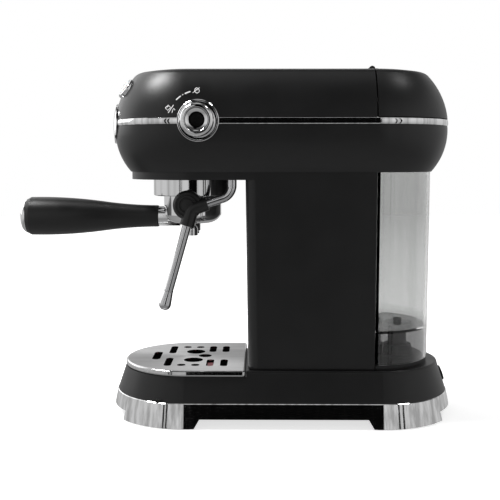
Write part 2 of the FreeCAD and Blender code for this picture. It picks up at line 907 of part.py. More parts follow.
def button_switches():
    pieces = []
    for name, turn in BUTTON_TURNS.items():
        base = doc.addObject("Part::Box", f"switch_{name}")
        base.Length = 7.0
        base.Width = 7.0
        base.Height = 4.0
        frame = button_frame(turn)
        base.Placement = Placement(frame.multVec(Vector(-3.5, -3.5, -20.6)), frame.Rotation)
        pieces.append(base)
    return keep(group_of("button_switches", *pieces))


def knob_escutcheon():
    """A shallow cup in the side of the head, whose rim shows round the knob."""
    face = dim.ring_face
    body = turned(
        "knob_escutcheon",
        (4.2, 66.0), (dim.ring_radius, 66.0), (dim.ring_radius, face - 0.5), (dim.ring_radius - 0.5, face),
        (dim.ring_radius - 1.3, face), (dim.ring_radius - 1.7, face - 0.8), (4.2, face - 0.8),
    )
    return keep(place(body, 0, dim.knob_along, dim.knob_height, ALONG_X))


def steam_knob():
    """The turned metal knob: a waisted barrel, a rounded rim and a dished face."""
    radius = dim.knob_radius
    insert = dim.insert_radius
    start = dim.knob_start
    face = dim.knob_face
    body = turned(
        "steam_knob",
        (dim.spindle_radius, start), (radius - 2.4, start), (radius - 1.4, start + 2.5),
        (radius - 1.4, start + 7.0), Bend(3.4), (radius - 0.1, start + 11.6), Bend(3.6), (radius - 3.4, face),
        Bend(3.0), (10.3, face - 0.9), (9.8, face - 0.9), Bend(-9.0), (insert + 0.5, face - 2.6),
        (insert, face - 4.2), (insert, start + 9.0), (dim.spindle_radius, start + 9.0),
    )
    return keep(place(body, 0, dim.knob_along, dim.knob_height, ALONG_X))


def knob_insert():
    start = dim.knob_start + 9.0
    face = dim.knob_face - 4.0
    radius = dim.insert_radius
    body = turned(
        "knob_insert",
        (0, start + 0.6), (radius, start + 0.6), (radius, face - 1.0), (radius - 1.0, face),
        (3.0, face - 0.8), (0, face - 0.8),
    )
    return keep(place(body, 0, dim.knob_along, dim.knob_height, ALONG_X))


def knob_spindle():
    radius = dim.spindle_radius
    end = dim.knob_start + 9.4
    body = turned("knob_spindle", (0, 40.0), (radius, 40.0), (radius, end), (0, end))
    return keep(place(body, 0, dim.knob_along, dim.knob_height, ALONG_X))


def steam_valve():
    """A brass valve block bored for the knob's spindle, with two hose barbs."""
    block = box("steam_valve_block", 26, 20, 20, 49, dim.knob_along, dim.knob_height - 10)
    nose = cylinder("steam_valve_nose", 7.5, 4, 62, dim.knob_along, dim.knob_height, ALONG_X)
    rear_barb = cylinder("steam_valve_rear_barb", 3, 9, 40.5, dim.knob_along + 10, dim.knob_height, ALONG_Y)
    low_barb = cylinder("steam_valve_low_barb", 3, 9, 50, dim.knob_along, dim.knob_height - 19)
    body = fused("steam_valve_body", block, nose, rear_barb, low_barb)
    radius = dim.spindle_radius + 0.05
    bore = cylinder("steam_valve_bore", radius, 40, 39.5, dim.knob_along, dim.knob_height, ALONG_X)
    return keep(cut("steam_valve", body, bore))


# ---------------------------------------------------------------------------------------------
# Brew group and portafilter
# ---------------------------------------------------------------------------------------------
def group_collar():
    """The bayonet collar: a lip with two gaps, which the portafilter's ears pass on the way up."""
    body = new_body("group_collar")
    drawn = new_sketch(body, "XZ_Plane")
    bottom = dim.group_bottom
    draw_outline(
        drawn,
        (dim.lip_radius, bottom), (dim.group_radius - 0.8, bottom), (dim.group_radius, bottom + 0.8),
        (dim.group_radius, dim.neck_bottom - 0.6), (dim.group_radius - 0.6, dim.neck_bottom),
        (29.2, dim.neck_bottom), (29.2, 224.0), (dim.cavity_radius, 224.0), (dim.cavity_radius, 213.5),
        (dim.lip_radius, 213.5),
    )
    add_revolution(body, drawn)
    gaps = new_sketch(body, "XY_Plane", bottom)
    half_gap = 13.4
    reach = dim.cavity_radius - 0.6
    inner = dim.lip_radius - 6.0
    for side in (-1, 1):
        near = side * inner
        far = side * reach * 0.97
        draw_outline(gaps, (near, -half_gap), (far, -half_gap), (far, half_gap), (near, half_gap))
    add_pocket(body, gaps, 1.9)
    return keep(place(body, 0, dim.group_centre, 0, Rotation(Vector(0, 0, 1), -45)))


def group_gasket():
    body = ring("group_gasket", 32.6, 26.6, 218.6, 223.9)
    return keep(place(body, 0, dim.group_centre, 0))


def shower_screen():
    body = turned(
        "shower_screen",
        (2.2, 220.0), (25.4, 220.0), (26.4, 221.0), (26.4, 223.4), (25.6, 223.4), (25.6, 221.2), (2.2, 221.2),
    )
    return keep(place(body, 0, dim.group_centre, 0))


def shower_screen_screw():
    body = turned(
        "shower_screen_screw", (0, 218.4), (4.0, 218.4), (4.0, 220.0), (2.0, 220.0), (2.0, 230.0), (0, 230.0)
    )
    return keep(place(body, 0, dim.group_centre, 0))


def thermoblock():
    """The heated aluminium block that stands in the head over the group."""
    block = cylinder("thermoblock_block", 40, 26, 0, dim.group_centre, 238)
    throat = cylinder("thermoblock_throat", 28.6, 16, 0, dim.group_centre, 224)
    rear_port = cylinder("thermoblock_port", 4, 14, 0, dim.group_centre + 36, 252, ALONG_Y)
    body = fused("thermoblock_body", block, throat, rear_port)
    screw_hole = cylinder("thermoblock_hole", 2, 10, 0, dim.group_centre, 223)
    return keep(cut("thermoblock", body, screw_hole))


def thermostats():
    pieces = []
    for index, (across, along) in enumerate(((-20, -98), (18, -108))):
        can = cylinder(f"thermostat_can_{index}", 8, 6, across, along, 264)
        cap = cylinder(f"thermostat_cap_{index}", 6.5, 5, across, along, 270)
        pieces.append(fused(f"thermostat_{index}", can, cap))
    return keep(group_of("thermostats", *pieces))


def portafilter_body():
    """The filter holder: a bowl with two ears and the arm that carries the handle."""
    body = new_body("portafilter_body")
    drawn = new_sketch(body, "XZ_Plane")
    outer = dim.filter_radius
    draw_outline(
        drawn,
        (0, dim.filter_bottom), (16.0, dim.filter_bottom), Bend(14.5),
        (outer, 193.0), (outer, dim.filter_top), (0, dim.filter_top),
    )
    add_revolution(body, drawn)
    ears = new_sketch(body, "XY_Plane", dim.ear_bottom)
    half_ear = 11.0
    for side in (-1, 1):
        inner = side * (dim.filter_radius - 2.4)
        reach = side * (dim.ear_radius - 1.9)
        draw_outline(
            ears,
            (inner, -half_ear), (reach, -half_ear), Bend(side * dim.ear_radius),
            (reach, half_ear), (inner, half_ear),
        )
    add_pad(body, ears, dim.ear_top - dim.ear_bottom)
    arm = new_sketch(body, "XZ_Plane", dim.filter_radius - 4.0)
    draw_circle(arm, 0, dim.handle_height, 9.6)
    reach = dim.group_centre - dim.handle_rear - dim.filter_radius + 4.0
    add_pad(body, arm, reach)
    tongue = new_sketch(body, "XZ_Plane", 12.0)
    low = dim.filter_bottom - 2.6
    high = dim.filter_bottom + 2.0
    draw_outline(tongue, (-6.5, low), (6.5, low), (6.5, high), (-6.5, high))
    add_pad(body, tongue, 20.0)
    for radius, floor in ((dim.filter_bore, 192.2), (14.0, 188.8), (4.0, 170.0)):
        hollow = new_sketch(body, "XY_Plane", floor)
        draw_circle(hollow, 0, 0, radius)
        add_pocket(body, hollow, 60)
    bore = new_sketch(body, "XZ_Plane", dim.group_centre - dim.handle_rear - 4)
    draw_circle(bore, 0, dim.handle_height, dim.handle_bore)
    add_pocket(body, bore, 10)
    return keep(place(body, 0, dim.group_centre, 0))


def place_sphere(name, radius, across, along, height):
    made = doc.addObject("Part::Sphere", name)
    bind(made, "Radius", sized(radius))
    return place(made, across, along, height)


def portafilter_spout():
    """A boss under the bowl that splits into two spouts."""
    centre = dim.group_centre
    spread = dim.spout_spread
    bottom = dim.spout_bottom
    level = bottom + 5.3
    boss = cylinder("spout_boss", 7.5, 7.4, 0, centre, dim.filter_bottom - 7.4)
    cross = cylinder("spout_cross", 5.6, 2 * spread, -spread, centre, level, ALONG_X)
    parts = [boss, cross]
    bores = [cylinder("spout_boss_bore", 4.0, 9, 0, centre, level - 0.2)]
    bores.append(cylinder("spout_cross_bore", 3.6, 2 * spread, -spread, centre, level, ALONG_X))
    for index, across in enumerate((-spread, spread)):
        parts.append(cylinder(f"spout_down_{index}", 5.6, 5.3, across, centre, bottom))
        parts.append(place_sphere(f"spout_ball_{index}", 5.6, across, centre, level))
        bores.append(cylinder(f"spout_bore_{index}", 3.8, 7.0, across, centre, bottom - 0.5))
    return keep(cut("portafilter_spout", fused("spout_body", *parts), *bores))


def filter_basket():
    radius = dim.basket_radius
    wall = dim.basket_wall
    low = dim.basket_bottom
    rim = dim.filter_top + 0.1
    body = turned(
        "filter_basket",
        (0, low), (radius - 2.5, low), (radius, low + 2.5), (radius, rim), (radius + 3.2, rim),
        (radius + 3.2, rim + wall), (radius - wall, rim + wall), (radius - wall, low + 2.9),
        (radius - 2.9, low + wall), (0, low + wall),
    )
    return keep(place(body, 0, dim.group_centre, 0))


def handle_grip():
    """The black grip, thin at the machine and full at its end, turned about the handle's line."""
    length = dim.handle_rear - dim.handle_front
    body = turned(
        "handle_grip",
        (dim.handle_bore, 0), (9.8, 0), (10.45, 1.0), Bend(-390.0), (14.2, 53.0), Bend(450.0), (18.4, 124.2),
        (16.6, length), (dim.handle_bore, length),
    )
    return keep(place(body, 0, dim.handle_rear, dim.handle_height, ALONG_MINUS_Y))


def handle_end_cap():
    length = dim.handle_front - dim.handle_tip
    body = turned(
        "handle_end_cap",
        (0, 0), (16.3, 0), (16.3, 0.8), Bend(7.0), (12.0, length - 1.6), Bend(45.8), (0, length),
    )
    return keep(place(body, 0, dim.handle_front, dim.handle_height, ALONG_MINUS_Y))


def handle_rod():
    """The stud that holds arm, grip and end cap together."""
    start = dim.handle_rear + 3.8
    return keep(cylinder("handle_rod", dim.handle_bore, 131.5, 0, start, dim.handle_height, ALONG_MINUS_Y))


# ---------------------------------------------------------------------------------------------
# Steam wand
# ---------------------------------------------------------------------------------------------
# Points of the wand in its own upright plane, as (along, height).
PIPE_BEND = (-47.0, 213.3)
PIPE_END = (-78.0, 203.4)
TUBE_START = (-86.8, 192.5)
TIP_END = (-111.1, 107.4)


def on_line(start, stop, height):
    """The point at a height on the line through two (along, height) points."""
    share = (height - start[1]) / (stop[1] - start[1])
    return (start[0] + (stop[0] - start[0]) * share, height)


TIP_START = on_line(TUBE_START, TIP_END, 125.6)


def swept(label, points, radius, bore=0.0, bend=8.0):
    """A tube along straight runs of (x, y, z) points with rounded corners."""
    path = [Vector(*point) for point in points]
    edges = []
    start = path[0]
    for index in range(1, len(path) - 1):
        corner = path[index]
        back = (path[index - 1] - corner).normalize()
        ahead = (path[index + 1] - corner).normalize()
        half = back.getAngle(ahead) / 2
        trim = bend / math.tan(half)
        entry = corner + back * trim
        leave = corner + ahead * trim
        bisector = (back + ahead).normalize()
        centre = corner + bisector * (bend / math.sin(half))
        middle = centre - bisector * bend
        edges.append(Part.makeLine(start, entry))
        edges.append(Part.Arc(entry, middle, leave).toShape())
        start = leave
    edges.append(Part.makeLine(start, path[-1]))
    wire = Part.Wire(edges)
    direction = path[1] - path[0]

    def tube(size):
        profile = Part.Wire(Part.makeCircle(size, path[0], direction))
        return wire.makePipeShell([profile], True, True)

    shape = tube(radius)
    if bore:
        shape = shape.cut(tube(bore))
    return free_form(label, shape)


def wand_swivel_nut():
    """The nut that holds the wand's pipe from inside the head, and lets it turn."""
    bore = dim.wand_pipe_radius + 0.05
    low = dim.head_bottom + dim.wall
    body = turned(
        "wand_swivel_nut",
        (bore, low), (6.2, low), (6.2, low + 4.4), (5.6, low + 5.0), (bore, low + 5.0),
    )
    return keep(place(body, dim.wand_across, dim.wand_along, 0))


def wand_pipe():
    """The bent pipe that turns in the nut and goes into the grip."""
    across = mm(dim.wand_across)
    along = mm(dim.wand_along)
    points = [(across, along, 246.0), (across, *PIPE_BEND), (across, *PIPE_END)]
    return keep(swept("wand_pipe", points, mm(dim.wand_pipe_radius), 1.6, 13.0))


def wand_grip():
    """The black elbow sleeve, with a ribbed round thumb disc behind it."""
    across = mm(dim.wand_across)
    mouth = on_line(PIPE_BEND, PIPE_END, 206.0)
    corner = on_line(TUBE_START, TIP_END, 201.2)
    end = on_line(TUBE_START, TIP_END, 185.6)
    sleeve = swept("wand_sleeve", [(across, *mouth), (across, *corner), (across, *end)], 6.7, 0.0, 7.6)
    radius = dim.thumb_radius
    disc = turned(
        "wand_disc",
        (0, -5.6), (radius - 2.4, -5.0), (radius, -2.6), (radius, 2.6), (radius - 2.0, 4.6),
        (radius - 3.0, 4.8), (radius - 3.4, 4.0), (radius - 4.4, 4.1), (radius - 4.8, 5.1),
        (radius - 6.0, 5.2), (radius - 6.4, 4.4), (radius - 7.4, 4.4), (radius - 7.8, 5.4), (0, 5.6),
    )
    place(disc, dim.wand_across, dim.thumb_along, dim.thumb_height, ALONG_X)
    body = fused("wand_grip_body", sleeve, disc)
    before = on_line(PIPE_BEND, PIPE_END, 210.0)
    pipe_run = [(across, *before), (across, *PIPE_END)]
    pipe_socket = swept("wand_pipe_socket", pipe_run, mm(dim.wand_pipe_radius))
    beyond = on_line(TUBE_START, TIP_END, 175.0)
    tube_run = [(across, *TUBE_START), (across, *beyond)]
    tube_socket = swept("wand_tube_socket", tube_run, mm(dim.wand_tube_radius))
    return keep(cut("wand_grip", body, pipe_socket, tube_socket))


def wand_tube():
    across = mm(dim.wand_across)
    points = [(across, *TUBE_START), (across, *TIP_START)]
    return keep(swept("wand_tube", points, mm(dim.wand_tube_radius), 1.6))


def wand_tip():
    """The wider nozzle screwed on the end of the tube."""
    lean = math.degrees(math.atan2(TIP_END[0] - TIP_START[0], TIP_START[1] - TIP_END[1]))
    length = math.dist(TIP_START, TIP_END)
    body = turned(
        "wand_tip",
        (0.9, 0), (4.5, 0), (4.5, 0.8), (4.3, 1.4), (5.7, length - 5.6), Bend(5.7),
        (2.0, length), (0.9, length),
    )
    turn = Rotation(Vector(1, 0, 0), 180 + lean)
    return keep(place(body, dim.wand_across, *TIP_START, turn))


# ---------------------------------------------------------------------------------------------
# Drip tray
# ---------------------------------------------------------------------------------------------
def d_outline(drawn, radius, rear, end_centre):
    """A half circle in front of a straight-sided piece that ends at a straight rear edge."""
    centre = -end_centre
    draw_outline(
        drawn,
        (-1 * radius, centre), Bend(radius), (0, centre - radius), Bend(radius), (radius, centre),
        (radius, rear), (-1 * radius, rear),
    )


def drip_tray():
    body = new_body("drip_tray")
    drawn = new_sketch(body, "XY_Plane", dim.tray_floor)
    d_outline(drawn, dim.tray_radius, dim.tray_rear, dim.base_end_centre)
    add_pad(body, drawn, dim.tray_deck - dim.tray_floor - 0.3)
    hollow = new_sketch(body, "XY_Plane", dim.tray_floor + 2.0)
    d_outline(hollow, dim.tray_radius - 2.0, dim.tray_rear - 2.0, dim.base_end_centre)
    add_pocket(body, hollow, 40)
    return keep(body)


PLATE_SLOTS = [
    (0.0, -123.0, 33.0, 8.0),
    (-26.5, -109.3, 33.0, 7.0), (26.5, -109.3, 33.0, 7.0),
    (-30.0, -69.2, 27.0, 7.0), (30.0, -69.2, 27.0, 7.0),
    (-30.0, -55.9, 27.0, 7.0), (30.0, -55.9, 27.0, 7.0),
]
PLATE_HOLES = [
    (-39.0, -96.0, 4.0), (39.0, -96.0, 4.0), (-39.0, -82.8, 4.0), (39.0, -82.8, 4.0),
    (-18.0, -86.0, 9.25), (18.0, -86.0, 9.25), (0.0, -75.6, 6.4),
]


def is_upright(edge):
    first, last = edge.Vertexes[0], edge.Vertexes[-1]
    return abs(first.X - last.X) < 0.01 and abs(first.Y - last.Y) < 0.01 and abs(first.Z - last.Z) > 1


def drip_plate():
    """The pressed steel cup plate: a pierced top with a turned-down rim."""
    body = new_body("drip_plate")
    drawn = new_sketch(body, "XY_Plane", dim.tray_deck + 0.1)
    d_outline(drawn, dim.plate_edge_radius, dim.plate_rear, dim.plate_end_centre)
    height = dim.plate_top - dim.tray_deck - 0.1
    add_pad(body, drawn, height)
    rear = mm(dim.plate_rear)
    soften(body, "Fillet", 3.0, lambda edge: is_upright(edge) and abs(edge.Vertexes[0].Y - rear) < 0.01)
    for level in (mm(dim.plate_top), mm(dim.tray_deck) + 0.1):
        soften(body, "Fillet", 2.0, lambda edge: all(abs(v.Z - level) < 0.01 for v in edge.Vertexes))
    hollow = new_sketch(body, "XY_Plane", dim.tray_deck - 1.0)
    rim = dim.plate_rim
    d_outline(hollow, dim.plate_edge_radius - rim, dim.plate_rear - rim, dim.plate_end_centre)
    add_pocket(body, hollow, height + 1.1 - dim.plate_thickness)
    pierced = new_sketch(body, "XY_Plane", dim.tray_deck)
    for across, along, length, width in PLATE_SLOTS:
        draw_slot(pierced, across, along, length, width)
    for across, along, radius in PLATE_HOLES:
        draw_circle(pierced, across, along, radius)
    add_pocket(body, pierced, 20)
    return keep(body)


def drip_float():
    """The red full-tray marker: a float under the plate with a fin that rises through a slot."""
    float_body = box("float_bowl", 26, 14, 7, dim.float_across, dim.float_along, 30)
    fin = box("float_fin", 18, 5.4, 20.5, dim.float_across, dim.float_along, 30)
    return keep(fused("drip_float", float_body, fin))


# ---------------------------------------------------------------------------------------------
# Water tank and lid
# ---------------------------------------------------------------------------------------------
def water_tank():
    """A clear D-shaped tank whose floor stands above an open skirt."""
    wall = mm(dim.tank_wall)
    radius = mm(dim.tank_radius)
    front = mm(dim.tank_front)
    low = mm(dim.tank_bottom)
    floor = mm(dim.tank_floor)
    outer = tank_outline(radius, front, low, dim.tank_top)
    inner = tank_outline(radius - wall, front + wall, floor, mm(dim.tank_top) + 1)
    under = tank_outline(radius - wall, front + wall, low - 1, floor - wall)
    upright = [
        edge
        for edge in outer.Edges
        if abs(edge.Vertexes[0].Z - edge.Vertexes[-1].Z) > 50 and edge.Vertexes[0].Y < front + 1
    ]
    outer = outer.makeFillet(5.0, upright)
    shape = outer.cut(inner).cut(under).cut(rod(4.0, 0, dim.valve_along, floor - 10, floor + 5))
    return keep(free_form("water_tank", shape))


def tank_frame():
    """The black rim on top of the tank, with the arm that carries the lid's hinge."""
    low = mm(dim.tank_top)
    high = low + 5.0
    radius = mm(dim.tank_radius)
    front = mm(dim.tank_front)
    rim = tank_outline(radius + 1.0, front - 0.6, low, high)
    rim = rim.cut(tank_outline(radius - 3.4, front + 3.4, low - 1, high + 1))
    lip = tank_outline(radius - 2.7, front + 2.7, low - 4.0, low)
    lip = lip.cut(tank_outline(radius - 4.2, front + 4.2, low - 5, low + 1))
    hinge = mm(dim.hinge_along)
    height = mm(dim.hinge_height)
    arm = slab(-4.7, 4.7, hinge - 1.0, hinge + 2.0, low, height)
    foot = slab(-4.7, 4.7, hinge - 1.0, front + 4, low, high)
    barrel = Part.makeCylinder(mm(dim.hinge_radius), 9.4, Vector(-4.7, hinge, height), Vector(1, 0, 0))
    pin_hole = Part.makeCylinder(mm(dim.hinge_pin_radius), 40, Vector(-20, hinge, height), Vector(1, 0, 0))
    shape = rim.fuse([lip, arm, foot, barrel]).removeSplitter().cut(pin_hole)
    return keep(free_form("tank_frame", shape))


def tank_lid():
    """The rear of the head's top, which lifts on its hinge to fill the tank."""
    wall = mm(dim.wall)
    low = mm(dim.band_top) + 0.5
    front = mm(dim.lid_seam) + mm(dim.lid_gap)
    shape = head_upper(0, low).cut(head_upper(wall, low - 1)).common(slab(-100, 100, front, 200, 200, 400))
    hinge = mm(dim.hinge_along)
    height = mm(dim.hinge_height)

    def along_hinge(radius, start, stop):
        return Part.makeCylinder(radius, stop - start, Vector(start, hinge, height), Vector(1, 0, 0))

    radius = mm(dim.hinge_radius)
    shape = shape.cut(slab(-5.2, 5.2, 70, hinge + radius + 0.7, 300, 340))
    knuckles = [along_hinge(radius, -14, -5.2), along_hinge(radius, 5.2, 14)]
    webs = [slab(side, side + 8.8, hinge, hinge + 5, height - 2.4, height + 0.4) for side in (-14, 5.2)]
    shape = shape.fuse(knuckles + webs).removeSplitter()
    shape = shape.cut(along_hinge(mm(dim.hinge_pin_radius) + 0.05, -20, 20))
    return keep(free_form("tank_lid", shape))


def lid_hinge_pin():
    return keep(
        cylinder("lid_hinge_pin", dim.hinge_pin_radius, 27, -13.5, dim.hinge_along, dim.hinge_height, ALONG_X)
    )


def tank_valve():
    """The spring valve screwed to the tank's floor."""
    floor = dim.tank_floor - dim.tank_wall
    radius = dim.valve_radius
    body = turned(
        "tank_valve",
        (3.0, 62.0), (radius, 62.0), (radius, floor - 4.0),
        (radius + 5.0, floor - 4.0), (radius + 5.0, floor), (4.0, floor),
        (4.0, floor + 6.0), (2.6, floor + 6.0), (2.6, 80.0),
        (6.4, 80.0), (6.4, 64.0), (3.0, 64.0),
    )
    return keep(place(body, 0, dim.valve_along, 0))


def tank_valve_spring():
    helix = Part.makeHelix(2.6, 13.0, 4.6)
    helix.Placement = Placement(Vector(0, mm(dim.valve_along), 65.4), Rotation())
    start = Vector(4.6, mm(dim.valve_along), 65.4)
    profile = Part.Wire(Part.makeCircle(0.45, start, Vector(0, 1, 0)))
    shape = Part.Wire(helix.Edges).makePipeShell([profile], True, True)
    return keep(free_form("tank_valve_spring", shape))


def tank_seat():
    """The socket in the deck that the tank's valve drops into, with a spigot for the suction hose."""
    deck = dim.tank_plinth
    radius = dim.seat_radius
    socket = dim.valve_radius + 0.6
    body = turned(
        "tank_seat",
        (2.4, 32.0), (4.2, 32.0), (4.2, 46.0), (radius - 2.0, 46.0), (radius - 2.0, deck),
        (radius, deck), (radius, deck + 1.6), (radius - 1.6, 66.0), (socket, 66.0),
        (socket, 50.0), (2.4, 50.0),
    )
    return keep(place(body, 0, dim.valve_along, 0))


def tank_seat_seal():
    body = ring("tank_seat_seal", dim.valve_radius + 0.6, 5.0, 50.0, 52.6)
    return keep(place(body, 0, dim.valve_along, 0))


# ---------------------------------------------------------------------------------------------
# Works inside the column and the head
# ---------------------------------------------------------------------------------------------
def water_pump():
    """A vibration pump: coil body with its iron frame and an inlet and outlet on one line."""
    coil = cylinder("pump_coil", 20, 52, 0, 22, 96)
    frame = box("pump_frame", 46, 34, 40, 0, 22, 102)
    inlet = cylinder("pump_inlet", 4.2, 22, 0, 22, 76)
    outlet = cylinder("pump_outlet", 5.0, 18, 0, 22, 146)
    return keep(fused("water_pump", coil, frame, inlet, outlet))


def pump_mounts():
    pieces = []
    for index, side in enumerate((-1, 1)):
        mount = box(f"pump_mount_{index}", 31.5, 16, 12, side * 38.75, 22, 116)
        pieces.append(mount)
    return keep(group_of("pump_mounts", *pieces))


def solenoid_valve():
    coil = box("solenoid_coil", 26, 30, 28, 26, 48, 184)
    stem = cylinder("solenoid_stem", 6, 12, 26, 48, 212)
    port = cylinder("solenoid_port", 3.2, 10, 26, 33, 190, ALONG_MINUS_Y)
    return keep(fused("solenoid_valve", coil, stem, port))


def suction_hose():
    points = [(0, mm(dim.valve_along), 31.5), (0, mm(dim.valve_along), 18.0), (0, 22, 18.0), (0, 22, 75.5)]
    return keep(swept("suction_hose", points, 4.0, 2.4, 5.5))


def brew_hose():
    rear = mm(dim.group_centre) + 50.5
    points = [(0, 22, 164.5), (0, 22, 205), (0, -12, 205), (0, -12, 252), (0, rear, 252)]
    return keep(swept("brew_hose", points, 3.4, 2.0, 9.0))


def steam_hoses():
    """From the block to the steam valve, and from the valve down to the wand."""
    along = mm(dim.knob_along)
    height = mm(dim.knob_height)
    into_valve = [(40.5, along + 19.3, height), (40.5, -34, height), (22, -34, 262), (22, -50.4, 258)]
    feed = swept("steam_hose_in", into_valve, 2.6, 1.4, 5.0)
    wand = mm(dim.wand_along)
    to_wand = [(50, along, height - 19.3), (50, along, 252), (50, wand, 252), (50, wand, 246.3)]
    down = swept("steam_hose_out", to_wand, 2.6, 1.4, 2.9)
    return keep(group_of("steam_hoses", feed, down))


def control_board():
    board = box("control_board_sheet", 80, 60, 1.6, 0, 20, 292)
    relay = box("control_board_relay", 20, 16, 15, -22, 30, 293.6)
    mains = cylinder("control_board_capacitor", 7, 18, 20, 36, 293.6)
    header = box("control_board_header", 24, 6, 8, 10, -2, 293.6)
    return keep(fused("control_board", board, relay, mains, header))


# ---------------------------------------------------------------------------------------------
# Build, check and export
# ---------------------------------------------------------------------------------------------
BUILDERS = [
    base_shell, base_skirt, base_bottom_plate, rubber_feet, base_screws, cord_inlet,
    column_shell, column_back_panel, neck_plate,
    head_lower_shell, head_upper_shell, head_screws, chrome_band, cup_warmer_plate, badge_plate,
    button_bezels, buttons, button_switches,
    knob_escutcheon, steam_knob, knob_insert, knob_spindle, steam_valve,
    group_collar, group_gasket, shower_screen, shower_screen_screw, thermoblock, thermostats,
    portafilter_body, portafilter_spout, filter_basket,
    handle_grip, handle_end_cap, handle_rod,
    wand_swivel_nut, wand_pipe, wand_grip, wand_tube, wand_tip,
    drip_tray, drip_plate, drip_float,
    water_tank, tank_frame, tank_lid, lid_hinge_pin, tank_valve, tank_valve_spring, tank_seat, tank_seat_seal,
    water_pump, pump_mounts, solenoid_valve, suction_hose, brew_hose, steam_hoses, control_board,
]
for build in BUILDERS:
    build()
doc.recompute()

for thing in doc.Objects:
    if "Invalid" in thing.State or "Error" in thing.State:
        raise RuntimeError(f"{thing.Label} did not compute: {thing.State}")

for node in nodes:
    shape = node.Shape
    if shape.isNull() or not shape.isValid() or not shape.Solids:
        raise RuntimeError(f"{node.Label} has no valid solid")
    shape.exportStep(f"parts/{node.Label}.step")
    print(node.Label, len(shape.Solids), round(shape.Volume / 1000, 2), "cm3")
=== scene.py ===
"""The espresso machine's looks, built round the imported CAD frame. Metres, +Z up, the front at -Y."""

import json
import math

import bmesh
import bpy
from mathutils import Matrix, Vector
from mathutils.bvhtree import BVHTree


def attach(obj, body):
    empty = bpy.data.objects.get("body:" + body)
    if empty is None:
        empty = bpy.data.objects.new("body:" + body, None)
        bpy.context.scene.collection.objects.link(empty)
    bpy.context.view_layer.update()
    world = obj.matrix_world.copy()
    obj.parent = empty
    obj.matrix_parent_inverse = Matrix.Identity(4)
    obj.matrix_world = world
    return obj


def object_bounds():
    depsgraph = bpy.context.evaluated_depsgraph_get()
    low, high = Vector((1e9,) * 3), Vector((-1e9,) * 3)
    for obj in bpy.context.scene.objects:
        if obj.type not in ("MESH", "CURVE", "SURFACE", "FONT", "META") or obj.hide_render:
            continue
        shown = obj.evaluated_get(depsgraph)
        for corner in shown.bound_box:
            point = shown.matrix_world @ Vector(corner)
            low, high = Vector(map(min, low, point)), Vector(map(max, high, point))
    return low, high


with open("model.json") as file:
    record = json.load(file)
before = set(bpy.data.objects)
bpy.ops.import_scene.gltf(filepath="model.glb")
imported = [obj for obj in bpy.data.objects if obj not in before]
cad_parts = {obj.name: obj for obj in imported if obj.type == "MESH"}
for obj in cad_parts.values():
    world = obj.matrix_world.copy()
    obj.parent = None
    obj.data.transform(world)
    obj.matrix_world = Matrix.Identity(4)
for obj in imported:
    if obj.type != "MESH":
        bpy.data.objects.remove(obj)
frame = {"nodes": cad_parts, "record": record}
cad_low, cad_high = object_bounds()
nodes = frame["nodes"]
record = frame["record"]

MM = 0.001

# The drip plate's turned-down edge is polished.
EDGE_ROUGHNESS = 0.07
# The painted shade round the tank's foot fades out between these two heights, in metres.
TANK_FOOT_SHADE = (0.084, 0.098)


# ---------------------------------------------------------------------------------------------
# Material helpers
# ---------------------------------------------------------------------------------------------
class Shader:
    """A material with one Principled shader and short calls for the nodes round it.

    A keyword names a setting or a socket, with _ for each space: Base_Color is "Base Color".
    """

    def __init__(self, name, **sockets):
        self.material = bpy.data.materials.new(name)
        self.material.use_nodes = True
        self.tree = self.material.node_tree
        self.shader = self.tree.nodes["Principled BSDF"]
        for socket, value in sockets.items():
            self.set(socket, value)

    def set(self, socket, value):
        name = socket.replace("_", " ")
        if name == "Base Color" and len(value) == 3:
            value = (*value, 1.0)
        self.shader.inputs[name].default_value = value

    def node(self, kind, **settings):
        made = self.tree.nodes.new(kind)
        for key, value in settings.items():
            if hasattr(made, key):
                setattr(made, key, value)
            else:
                made.inputs[key.replace("_", " ")].default_value = value
        return made

    def link(self, source, target):
        self.tree.links.new(source, target)

    def coordinates(self, scale=(1.0, 1.0, 1.0)):
        """Object coordinates in metres, multiplied by a scale along each axis."""
        source = self.node("ShaderNodeTexCoord")
        mapping = self.node("ShaderNodeMapping")
        mapping.inputs["Scale"].default_value = scale
        self.link(source.outputs["Object"], mapping.inputs["Vector"])
        return mapping.outputs["Vector"]

    def noise(self, scale, detail=3.0, stretch=(1.0, 1.0, 1.0)):
        """Noise from 0 to 1, with its scale in waves per metre, drawn out along an axis by the stretch."""
        made = self.node("ShaderNodeTexNoise", Scale=scale, Detail=detail)
        self.link(self.coordinates(stretch), made.inputs["Vector"])
        return made.outputs["Fac"]

    def ramp(self, source, *stops):
        """Map a value to grey levels or colours through (position, level) stops."""
        made = self.node("ShaderNodeValToRGB")
        elements = made.color_ramp.elements
        for index, (position, value) in enumerate(stops):
            element = elements[index] if index < 2 else elements.new(position)
            element.position = position
            colour = (value, value, value) if isinstance(value, float) else value
            element.color = (*colour, 1.0)
        self.link(source, made.inputs["Fac"])
        return made.outputs["Color"]

    def bump(self, height, strength, distance):
        made = self.node("ShaderNodeBump", Strength=strength, Distance=distance)
        self.link(height, made.inputs["Height"])
        self.link(made.outputs["Normal"], self.shader.inputs["Normal"])

    def drive(self, socket, source):
        """Feed one of the shader's sockets from a node's output."""
        self.link(source, self.shader.inputs[socket.replace("_", " ")])


def housing_black():
    """Smooth semi-gloss black moulding with a fine orange-peel and faint smudges."""
    made = Shader("housing_black", Base_Color=(0.005, 0.005, 0.0052), Specular_IOR_Level=0.46)
    made.drive("Roughness", made.ramp(made.noise(38.0, 4.0), (0.3, 0.34), (0.75, 0.41)))
    made.bump(made.noise(900.0, 2.0), 0.12, 0.00004)
    return made.material


